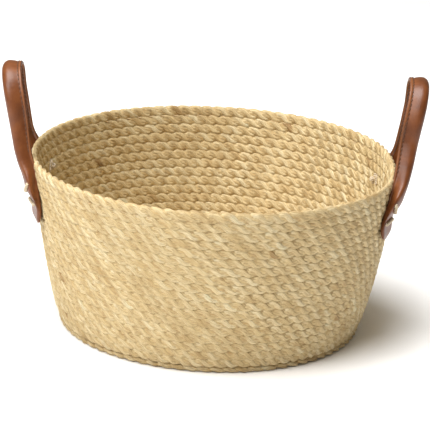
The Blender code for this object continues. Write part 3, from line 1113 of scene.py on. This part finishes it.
@dataclass
class RopeBody:
    """Base spiral, wall courses and rim, all of the same rope.

    Attributes:
        shape: Sizes of the basket.
        workshop: Makes the pieces.
        rope: The rope.
        wall_courses: Number of courses of the wall, the rim's among them.
        lays_round: Turns of the twist in each of them.
        base_pitch: Distance between the courses of the base.
        base_first: Radius where the spiral starts, as a share of its pitch.
        base_overlap: Turns that it goes on under the first course of the wall.
        part_courses: Courses in one piece of the wall.
        sway: How far the rim sways in and out. It fades out towards the floor.
        wave: How far it waves up and down.
        ripple: How far each course ripples up and down by itself.
        base_ripple: The same for the base.
        end_centre: Place of the rope's tucked end.
        end_radius: Its radius.
        end_half: Half its thickness.
    """

    shape: BasketShape
    workshop: Workshop
    rope: RopeLay = field(default_factory=RopeLay)
    wall_courses: int = 18
    lays_round: int = 44
    base_pitch: float = 0.0093
    base_first: float = 0.30
    base_overlap: float = 0.94
    part_courses: int = 6
    sway: float = 0.0006
    wave: float = 0.0005
    ripple: float = 0.00022
    base_ripple: float = 0.00012
    end_centre: tuple = (0.0020, -0.0018)
    end_radius: float = 0.0052
    end_half: float = 0.0022

    def course_heights(self) -> np.ndarray:
        """Heights of the courses' middle lines, evenly stepped along the slope."""
        half = self.base_pitch / 2
        dense = np.linspace(self.shape.thickness + half, self.shape.height - half, 400)
        radii = self.shape.outer_radius(dense)
        length = run_length(np.stack([dense, radii], axis=-1))
        return np.interp(np.linspace(0, length[-1], self.wall_courses), length, dense)

    def wall_course(self, index: int, height: float) -> Course:
        """One closed course of the wall.

        Args:
            index: Its number, from 0 at the bottom.
            height: Height of its middle line.

        Returns:
            The course.
        """
        shape = self.shape
        radius = float(shape.outer_radius(height)) - shape.thickness / 2
        near = 0.004
        below, above = shape.outer_radius(np.array([height - near, height + near]))
        tilt = math.atan2(above - below, 2 * near)
        rise = height / shape.height

        def middle(along: np.ndarray) -> tuple[Points, Points, Points]:
            """Middle line of the course, with its directions across and up the wall."""
            azimuth = 2 * math.pi * along
            reach = radius - shape.pull(azimuth, np.full_like(along, height))
            reach += rise * self.sway * wander(along, 40 + index // 3, (2, 3, 5, 8))
            lift = rise * self.wave * wander(along, 20, (2, 3, 5))
            lift += self.ripple * wander(along, 60 + index, (4, 9, 17, 31))
            round_x, round_y = np.cos(azimuth), np.sin(azimuth)
            centre = np.stack([reach * round_x, reach * round_y, height + lift], axis=-1)
            flat = np.full_like(along, math.cos(tilt))
            drop = np.full_like(along, -math.sin(tilt))
            outward = np.stack([flat * round_x, flat * round_y, drop], axis=-1)
            upward = np.stack([-drop * round_x, -drop * round_y, flat], axis=-1)
            return centre, outward, upward

        return Course(middle, 2 * math.pi * radius, index, self.lays_round, self.rope)

    def base_course(self) -> Course:
        """Spiral from the middle of the base to the first wall course."""
        shape = self.shape
        height = shape.thickness / 2
        last = float(shape.outer_face(height)) - self.base_pitch / 2
        first = self.base_pitch * self.base_first
        turns = (last - first) / self.base_pitch + self.base_overlap
        dense = np.linspace(0, turns, 6000)
        reach_at = np.minimum(first + self.base_pitch * dense, last)
        steps = np.hypot(np.diff(reach_at), 2 * math.pi * reach_at[1:] * np.diff(dense))
        length = np.concatenate([[0], np.cumsum(steps)])

        def middle(along: np.ndarray) -> tuple[Points, Points, Points]:
            """Middle line of the spiral, with its directions down and outward."""
            turn = np.interp(along * length[-1], length, dense)
            reach = np.minimum(first + self.base_pitch * turn, last)
            azimuth = 2 * math.pi * turn
            round_x, round_y = np.cos(azimuth), np.sin(azimuth)
            lift = self.base_ripple * wander(along, 5, (41, 67, 93))
            centre = np.stack([reach * round_x, reach * round_y, height + lift], axis=-1)
            radial = np.stack([round_x, round_y, np.zeros_like(along)], axis=-1)
            down = np.tile([0.0, 0.0, -1.0], (len(along), 1))
            return centre, down, radial

        lays = round(float(length[-1]) / self.rope.lay)
        return Course(middle, float(length[-1]), 200, lays, self.rope, closed=False)

    def tucked_end(self) -> Patch:
        """End of the rope, tucked flat into the middle of the base."""
        x, y = self.end_centre

        def place(along: np.ndarray, around: np.ndarray) -> Points:
            """Points of a flat lens."""
            polar, azimuth = math.pi * along, 2 * math.pi * around
            reach = self.end_radius * np.sin(polar)
            height = self.shape.thickness / 2 + self.end_half * np.cos(polar)
            return np.stack([x + reach * np.cos(azimuth), y + reach * np.sin(azimuth), height], axis=-1)

        def even(along: np.ndarray, around: np.ndarray) -> np.ndarray:
            """One shade all over."""
            return np.full_like(along, TONES.tucked)

        return Patch(10, 16, place, 2 * self.end_radius, {"tone": even, "crevice": even})

    def build(self) -> None:
        """Builds the base, the rim and the wall's pieces, which all ride on the basket."""
        patches = [*self.base_course().patches(), self.tucked_end()]
        base = self.workshop.piece("base_rope", patches, Slot.STRAW)
        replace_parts(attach(base, "basket"), "base_coil")
        heights = self.course_heights()
        courses = [self.wall_course(i, float(h)) for i, h in enumerate(heights)]
        rim = self.workshop.piece("rim_rope", courses[-1].patches(), Slot.STRAW)
        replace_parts(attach(rim, "basket"), "rim_coil")
        for start in range(0, self.wall_courses - 1, self.part_courses):
            stop = min(start + self.part_courses, self.wall_courses - 1)
            patches = [patch for course in courses[start:stop] for patch in course.patches()]
            name = f"wall_rope_{start // self.part_courses + 1}"
            wall = self.workshop.piece(name, patches, Slot.STRAW)
            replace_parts(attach(wall, "basket"), "wall_coil")


@dataclass
class SeamSewing:
    """Sewing thread that runs in and out between two courses.

    Attributes:
        name: Name of the piece.
        node: The CAD node that it stands for.
        height: Height of the seam.
        shape: Sizes of the basket.
        workshop: Makes the piece.
        stitch: Length of one stitch and one gap together.
        radius: Radius of the thread.
        depth: How far it swings in and out.
        slant: How far it swings up and down.
        squareness: Flatness of the runs along the faces, 1 for a sine.
    """

    name: str
    node: str
    height: float
    shape: BasketShape
    workshop: Workshop
    stitch: float = 0.013
    radius: float = 0.00045
    depth: float = 0.0021
    slant: float = 0.0005
    squareness: float = 0.6

    def build(self) -> None:
        """Builds the thread, which rides on the basket."""
        radius = float(self.shape.outer_face(self.height)) - self.shape.thickness / 2
        stitches = round(2 * math.pi * radius / self.stitch)
        share = np.linspace(0, 1, stitches * 12, endpoint=False)
        azimuth = 2 * math.pi * share
        swing = np.sin(stitches * azimuth)
        reach = radius + self.depth * np.sign(swing) * np.abs(swing) ** self.squareness
        reach -= self.shape.pull(azimuth, np.full_like(share, self.height))
        height = self.height + self.slant * np.cos(stitches * azimuth)
        line = np.stack([reach * np.cos(azimuth), reach * np.sin(azimuth), height], axis=-1)
        cord = Cord(line, self.radius, closed=True, around=5)
        sewing = self.workshop.piece(self.name, cord.patches(), Slot.SEWING_THREAD)
        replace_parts(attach(sewing, "basket"), self.node)


# ------------------------------------------------------------------------------------------- handles


@dataclass(frozen=True)
class StrapSection:
    """Half outline of the strap, from the stitched edge's middle to the fold, open flat and folded."""

    points: int = 26

    def outline(self) -> tuple[Points, Points]:
        """Rows of (share of the width, share of the half spread): first flat, then folded."""
        flat = np.array([
            (0.16, 0.00), (0.12, 0.10), (0.06, 0.22), (0.00, 0.45), (0.00, 0.70), (0.03, 0.90),
            (0.22, 0.985), (0.50, 1.00), (0.78, 0.985), (0.95, 0.93), (1.00, 0.80), (1.01, 0.50),
            (1.02, 0.0),
        ])
        folded = np.array([
            (0.055, 0.00), (0.03, 0.035), (0.00, 0.08), (0.000, 0.22), (0.03, 0.30), (0.10, 0.315),
            (0.160, 0.265), (0.21, 0.33), (0.42, 0.72), (0.66, 0.985), (0.84, 0.85), (0.965, 0.46),
            (1.00, 0.0),
        ])
        return self.spaced(flat), self.spaced(folded)

    def spaced(self, knots: Points) -> Points:
        """The outline with more points, smoothed between its knots."""
        at = np.linspace(0, len(knots) - 1, self.points)
        fine = np.linspace(0, len(knots) - 1, 8 * self.points)
        return rows_at(at, fine, relaxed(rows_at(fine, np.arange(len(knots)), knots), 24))


@dataclass
class Handle:
    """Leather strap folded round a rope, its stitches, and the lacing of its two tabs.

    Attributes:
        shape: Sizes of the handle.
        workshop: Makes the pieces.
        section: Outline of the strap.
        stitch_pitch: Distance between two stitches.
        stitch_length: Length of a stitch.
        stitch_radius: Radius of the sewing thread.
        stitch_row: Place of the row round the section, 0 at the stitched edge and 1 at the fold.
        stitch_slant: How far a stitch slants across the row.
        lowest_stitch: Height where the rows end.
        pinch: How deep each stitch pulls the leather in.
        cord_radius: Radius of the lacing cord.
        blend_low: Distance below the hinge; not used.
        blend_high: Distance above the hinge; not used.
        fold_below: How far below the crease the strap begins to fold.
        fold_length: Height over which it folds.
        core_from: Height where the rope inside begins.
        core_radius: Radius of that rope.
        core_lay: Length of one turn of its plies.
        core_share: Its place off the section's middle, as a share of the section's size.
    """

    shape: HandleShape
    workshop: Workshop
    section: StrapSection = field(default_factory=StrapSection)
    stitch_pitch: float = 0.0043
    stitch_length: float = 0.0031
    stitch_radius: float = 0.00042
    stitch_row: float = 0.487
    stitch_slant: float = 0.014
    lowest_stitch: float = 0.164
    pinch: float = 0.00022
    cord_radius: float = 0.0017
    blend_low: float = -0.0005
    blend_high: float = 0.0110
    fold_below: float = 0.0265
    fold_length: float = 0.040
    core_from: float = 0.167
    core_radius: float = 0.0033
    core_lay: float = 0.014
    core_share: float = 0.15

    def __post_init__(self) -> None:
        """Works out the centre line and its directions once."""
        self.line = self.shape.centre_line()
        self.outward, self.face = self.shape.axes(self.line)
        self.length = run_length(self.line)
        self.flat, self.folded = self.section.outline()

    @property
    def label(self) -> str:
        """Side of the handle, as it stands in the nodes' names."""
        return self.shape.side.label

    def fold_mix(self, height: np.ndarray) -> np.ndarray:
        """0 on the flat tab, 1 where the strap is wholly folded."""
        crease = self.shape.body.crease_height
        return smooth((height - crease + self.fold_below) / self.fold_length)

    def skin(self, at: np.ndarray, share: np.ndarray) -> Points:
        """Points of the leather's surface.

        Args:
            at: Distance along the centre line.
            share: Place round the section, 0 and 1 at the stitched edge's middle, 0.5 at the fold.

        Returns:
            The points.
        """
        centre, outward, face = (
            rows_at(at, self.length, rows) for rows in (self.line, self.outward, self.face)
        )
        height = centre[:, 2]
        half = 1 - np.abs(2 * share - 1)
        sign = np.where(share < 0.5, 1.0, -1.0)
        knot = half * (len(self.flat) - 1)
        index = np.arange(len(self.flat))
        mix = self.fold_mix(height)[:, None]
        outline = rows_at(knot, index, self.flat) * (1 - mix) + rows_at(knot, index, self.folded) * mix
        across, aside = outline.T
        aside = aside * self.shape.spread(height) / 2 - self.dimple(at, half, height)
        point = centre + outward * (self.shape.width(height) * (across - 0.5))[:, None]
        return point + face * (sign * aside)[:, None]

    def dimple(self, at: np.ndarray, half: np.ndarray, height: np.ndarray) -> np.ndarray:
        """Pinch of the leather at each end of each stitch."""
        middle = self.length[-1] / 2
        beat = np.abs(((at - middle) / self.stitch_pitch) % 1.0 - 0.5) * 2
        near = smooth(1 - beat / 0.55)
        return self.pinch * near * bell(half, 0.50, 0.05) * (height > self.lowest_stitch)

    def build(self) -> None:
        """Builds the strap, its stitches, its rope and its lacing."""
        self.leather()
        self.stitches()
        self.core()
        for end in End:
            Lacing(self, end, self.cord_radius).build()

    def core(self) -> None:
        """Three-strand rope inside the fold."""
        inside = self.line[:, 2] > self.core_from
        out = self.core_share * self.shape.width(self.line[inside, 2])
        line = self.line[inside] + self.outward[inside] * out[:, None]
        patches = Cord(line, self.core_radius, 3, self.core_lay).patches()
        rope = self.workshop.piece(f"{self.label}_core_rope", patches, Slot.ROPE)
        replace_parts(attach(rope, f"{self.label}_handle"), f"{self.label}_rope_core")

    def place_at(self, end: End, height: np.ndarray) -> np.ndarray:
        """Distance along the centre line of a height on one leg."""
        half = len(self.line) // 2
        at = np.interp(height, self.line[:half, 2], self.length[:half])
        return at if end is End.FRONT else self.length[-1] - at

    def middle(self, end: End, height: np.ndarray) -> Points:
        """Points of the centre line at a height on one leg."""
        return rows_at(self.place_at(end, height), self.length, self.line)

    def surface(self, end: End, aside: np.ndarray, height: np.ndarray, lift: float) -> Points:
        """Points just off the leather of one leg.

        Args:
            end: Front or rear leg.
            aside: Place round the outer face, 0 on the fold, positive away from the loop's middle.
            height: Height on the leg's middle line.
            lift: Distance from the leather.

        Returns:
            The points.
        """
        at = self.place_at(end, height)
        share = 0.5 - np.asarray(aside) / 2
        point = self.skin(at, share)
        round_it = self.skin(at, share + 0.01) - self.skin(at, share - 0.01)
        up_it = self.skin(at + 0.0006, share) - self.skin(at - 0.0006, share)
        normal = unit(np.cross(round_it, up_it))
        inward = np.sum(normal * (point - self.middle(end, height)), axis=1, keepdims=True) < 0
        return point + np.where(inward, -normal, normal) * lift

    def leather(self) -> None:
        """Builds the strap, flat on its tabs and folded over the loop, across its crease."""
        total = self.length[-1]

        def place(along: np.ndarray, around: np.ndarray) -> Points:
            """Points of the leather."""
            return self.skin(along * total, around)

        def folded(along: np.ndarray, around: np.ndarray) -> tuple[np.ndarray, np.ndarray]:
            """Place round the section from the stitched edge to the fold, and how far it is folded."""
            height = np.interp(along * total, self.length, self.line[:, 2])
            return 1 - np.abs(2 * around - 1), self.fold_mix(height)

        def edge(along: np.ndarray, around: np.ndarray) -> np.ndarray:
            """1 on the tabs' side edges, which are pale with wear, and on the flange ridge, where it is a
            painted highlight.
            """
            half, mix = folded(along, around)
            flange, tip = bell(half, 0.36, 0.05) * mix, bell(half, 0.56, 0.10) * (1 - mix)
            return np.clip(0.55 * flange + 0.25 * tip, 0, 1)

        def dark(along: np.ndarray, around: np.ndarray) -> np.ndarray:
            """Painted shade: 1 in the gap between the two edges, less along the row of stitches."""
            half, mix = folded(along, around)
            gap_line, seam = bell(half, 0.0, 0.07), bell(half, 0.50, 0.022)
            return np.clip((0.9 * gap_line + 0.35 * seam) * mix, 0, 1)

        marks = {"edge": edge, "dark": dark}
        around = 2 * (self.section.points - 1)
        patch = Patch(len(self.line) - 1, around, place, float(total), marks, capped=True)
        strap = self.workshop.piece(f"{self.label}_handle_strap", [patch], Slot.LEATHER, 50)
        x, y, z = self.shape.pivot
        low, high = (x, y, z - self.blend_low), (x, y, z + self.blend_high)
        f"{self.label}_handle"
        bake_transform(strap)
        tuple(low)
        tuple(high)
        nodes = [f"{self.label}_{end.label}_tab" for end in End]
        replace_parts(strap, *nodes, f"{self.label}_grip_cover")

    def stitches(self) -> None:
        """Short slanted stitches through the stitched edge, seen on both faces."""
        middle = self.length[-1] / 2
        folded = self.length[self.line[:, 2] > self.lowest_stitch]
        reach = int((folded[-1] - middle) / self.stitch_pitch)
        patches = []
        run = np.linspace(-1, 1, 7)
        half = self.stitch_row + self.stitch_slant * run
        arch = self.stitch_radius * (1.1 - 1.7 * run ** 4)
        for side in (1, -1):
            share = half / 2 if side > 0 else 1 - half / 2
            for count in range(-reach, reach):
                at = middle + (count + 1) * self.stitch_pitch + run * self.stitch_length / 2
                face = rows_at(at, self.length, self.face)
                line = self.skin(at, share) + face * (side * arch)[:, None]
                patches += Cord(line, self.stitch_radius, around=6).patches()
        sewing = self.workshop.piece(f"{self.label}_strap_stitches", patches, Slot.BROWN_THREAD)
        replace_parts(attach(sewing, f"{self.label}_handle"), f"{self.label}_grip_seam_thread")


@dataclass
class Lacing:
    """Cord that laces one tab to the wall, with a small knot inside.

    Attributes:
        handle: The handle whose tab it laces.
        end: Front or rear tab.
        radius: Radius of the cord.
        lower: Rows of (place round the leather, height, place of the hole in the wall) of its lower stitch.
        upper: The same for the upper stitch, which wraps the strap's edge.
        highest_hole: Height that no hole in the wall is above.
        hole_share: How far towards the strap's middle the cord goes in at the ends of a stitch.
        above: Height of the cord's middle over the leather, as a share of its radius.
        loop_depth: How deep the cord's inner runs are pressed into the wall.
        knot_depth: The same for the knot.
        knot_turns: Wraps of the knot.
    """

    handle: Handle
    end: End
    radius: float
    lower: tuple = ((-0.10, 0.1295, -0.0045), (0.17, 0.1285, 0.0045))
    upper: tuple = ((0.17, 0.1455, 0.0025), (-0.02, 0.1395, -0.0025))
    highest_hole: float = 0.1375
    hole_share: float = 0.75
    above: float = 0.6
    loop_depth: float = 0.0030
    knot_depth: float = 0.0018
    knot_turns: int = 2

    def outside(self, stitch: tuple) -> Points:
        """Path of one stitch over the leather."""
        (start, low, _), (stop, high, _) = stitch
        share = np.linspace(0, 1, 9)
        aside = start + (stop - start) * share
        height = low + (high - low) * share
        over = self.handle.surface(self.end, aside, height, self.radius * self.above)
        ends = over[[0, -1]]
        holes = ends + self.hole_share * (self.handle.middle(self.end, height[[0, -1]]) - ends)
        return np.vstack([holes[:1], over, holes[1:]])

    def inside(self, hole: tuple[float, float, float], depth: float) -> Points:
        """Point on the inside of the wall behind one end of a stitch.

        Args:
            hole: Row of that end.
            depth: How deep the cord is pressed into the wall.

        Returns:
            The point.
        """
        shape = self.handle.shape
        _, height, across = hole
        offset = depth - shape.body.thickness - self.radius
        height = min(height, self.highest_hole)
        return shape.body.on_wall(shape.side, self.end, shape.tab_shift + across, height, offset)

    def loop(self) -> Points:
        """Closed path of the cord: over the tab, through the wall and back, twice."""
        corners = [
            *self.outside(self.lower),
            self.inside(self.lower[1], self.loop_depth),
            self.inside(self.upper[0], self.loop_depth),
            *self.outside(self.upper),
            self.inside(self.upper[1], self.loop_depth),
            self.inside(self.lower[0], self.loop_depth),
        ]
        return rounded(np.array(corners), 0.0010, True)

    def knot(self) -> Points:
        """Wraps round the cord on the inside of the wall."""
        lower = self.inside(self.lower[1], self.knot_depth)
        upper = self.inside(self.upper[0], self.knot_depth)
        middle = (lower + upper) / 2
        along = unit(upper - lower)
        radial = unit(middle * np.array([1.0, 1.0, 0.0]))
        across = np.cross(along, radial)
        turn = np.linspace(0, 2 * math.pi * self.knot_turns, 70)[:, None]
        size = 1.3 * self.radius
        wrap = middle + size * (np.cos(turn) * radial + np.sin(turn) * across)
        climb = 0.9 * self.radius * (turn / (2 * math.pi) - self.knot_turns / 2)
        return rounded(wrap + along * climb, 0.0005, False, 0.0004)

    def build(self) -> None:
        """Builds the cord with its knot, which rides on the basket."""
        patches = Cord(self.loop(), self.radius, 3, closed=True).patches()
        patches += Cord(self.knot(), self.radius * 0.6, 3, 0.004).patches()
        label = f"{self.handle.label}_{self.end.label}_lacing"
        cord = self.handle.workshop.piece(f"{label}_cord", patches, Slot.LACING_CORD)
        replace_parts(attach(cord, "basket"), label)


# -------------------------------------------------------------------------------------------- studio


@dataclass(frozen=True)
class StudioCamera:
    """Long lens from the front and a little above, rolled very slightly.

    Attributes:
        target: The point that it stands off from.
        distance: Distance from that point.
        elevation: Degrees above the horizon.
        roll: Degrees that it is rolled to its left.
        lens: Focal length in millimetres.
        sensor: Width of the sensor in millimetres.
        aim_right: How far it aims right of the target, as a share of the distance.
        aim_up: How far it aims above the target.
    """

    target: tuple = (0.0, 0.0, 0.08)
    distance: float = 2.4
    elevation: float = 18.84
    roll: float = 2.88
    lens: float = 206.2
    sensor: float = 36.0
    aim_right: float = 0.001137
    aim_up: float = 0.010475

    def build(self) -> None:
        """Adds the camera to the scene."""
        rise, roll = math.radians(self.elevation), math.radians(self.roll)
        forward = Vector((0, math.cos(rise), -math.sin(rise)))
        level = Vector((1, 0, 0))
        upright = Vector((0, math.sin(rise), math.cos(rise)))
        right = level * math.cos(roll) + upright * math.sin(roll)
        up = upright * math.cos(roll) - level * math.sin(roll)
        place = Vector(self.target) - forward * self.distance
        aim = forward + right * self.aim_right + up * self.aim_up
        aim.normalize()
        right = (right - aim * right.dot(aim)).normalized()
        up = right.cross(aim)
        data = bpy.data.cameras.new("studio_camera")
        data.sensor_width = self.sensor
        data.lens = self.lens
        data.clip_start = 0.1
        camera = bpy.data.objects.new("studio_camera", data)
        turn = Matrix((right, up, -aim)).transposed().to_4x4()
        camera.matrix_world = Matrix.Translation(place) @ turn
        bpy.context.scene.collection.objects.link(camera)
        bpy.context.scene.camera = camera


@dataclass(frozen=True)
class SoftLight:
    """One large soft box aimed at the object."""

    name: str
    place: tuple
    size: float
    power: float
    colour: tuple = (1.0, 1.0, 1.0)
    aim: tuple = (0.0, 0.0, 0.08)

    def build(self) -> None:
        """Adds the light to the scene."""
        data = bpy.data.lights.new(self.name, "AREA")
        data.shape = "DISK"
        data.size = self.size
        data.energy = self.power
        data.color = self.colour
        lamp = bpy.data.objects.new(self.name, data)
        lamp.location = self.place
        toward = Vector(self.aim) - Vector(self.place)
        lamp.rotation_euler = toward.to_track_quat("-Z", "Y").to_euler()
        bpy.context.scene.collection.objects.link(lamp)


@dataclass(frozen=True)
class Studio:
    """Floor, lights, sky light and camera."""

    camera: StudioCamera = StudioCamera()
    lights: tuple = (
        SoftLight("key_light", (-1.8, -1.5, 1.8), 1.2, 34.0, (1.0, 0.99, 0.98)),
        SoftLight("front_light", (-1.0, -2.2, 2.4), 1.2, 23.0),
        SoftLight("top_light", (-0.45, -0.2, 2.4), 1.9, 92.0),
    )
    sky: tuple = (1.0, 0.90, 0.73)
    sky_strength: float = 0.24
    floor_size: float = 12.0

    def build(self) -> None:
        """Adds camera, lights, sky and floor."""
        self.camera.build()
        for light in self.lights:
            light.build()
        world = bpy.data.worlds.new("studio_world")
        world.use_nodes = True
        background = world.node_tree.nodes["Background"]
        background.inputs["Color"].default_value = (*self.sky, 1.0)
        background.inputs["Strength"].default_value = self.sky_strength
        bpy.context.scene.world = world
        bpy.context.scene.view_settings.view_transform = "Standard"
        mesh = bpy.data.meshes.new("studio_floor")
        bm = bmesh.new()
        bmesh.ops.create_grid(bm, x_segments=4, y_segments=4, size=self.floor_size / 2)
        bm.to_mesh(mesh)
        bm.free()
        mesh.materials.append(FloorFinish().build())
        floor = bpy.data.objects.new("studio_floor", mesh)
        bpy.context.scene.collection.objects.link(floor)


def main() -> None:
    """Builds the basket and the studio."""
    logging.basicConfig(level=logging.INFO, format="%(name)s: %(message)s")
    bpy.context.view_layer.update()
    workshop = Workshop(FinishShelf())
    shape = BasketShape()
    RopeBody(shape, workshop).build()
    base_seam, rim_seam = 0.0072, 0.1567
    SeamSewing("base_seam_sewing", "base_seam_thread", base_seam, shape, workshop).build()
    SeamSewing("rim_seam_sewing", "rim_seam_thread", rim_seam, shape, workshop).build()
    left = HandleShape(
        side=Side.LEFT,
        fold_edge=LEFT_FOLD_EDGE,
        widths=LEFT_WIDTHS,
        top_tilt=18.0,
        tab_shift=-0.0035,
        tab_bottom=0.1063,
        loop_top=0.2515,
        body=shape,
    )
    right = HandleShape(
        side=Side.RIGHT,
        fold_edge=RIGHT_FOLD_EDGE,
        widths=RIGHT_WIDTHS,
        top_tilt=15.0,
        tab_shift=0.008,
        tab_bottom=0.1105,
        loop_top=0.2550,
        body=shape,
    )
    for handle in (left, right):
        Handle(handle, workshop).build()
    Studio().build()


if __name__ == "__main__":
    main()
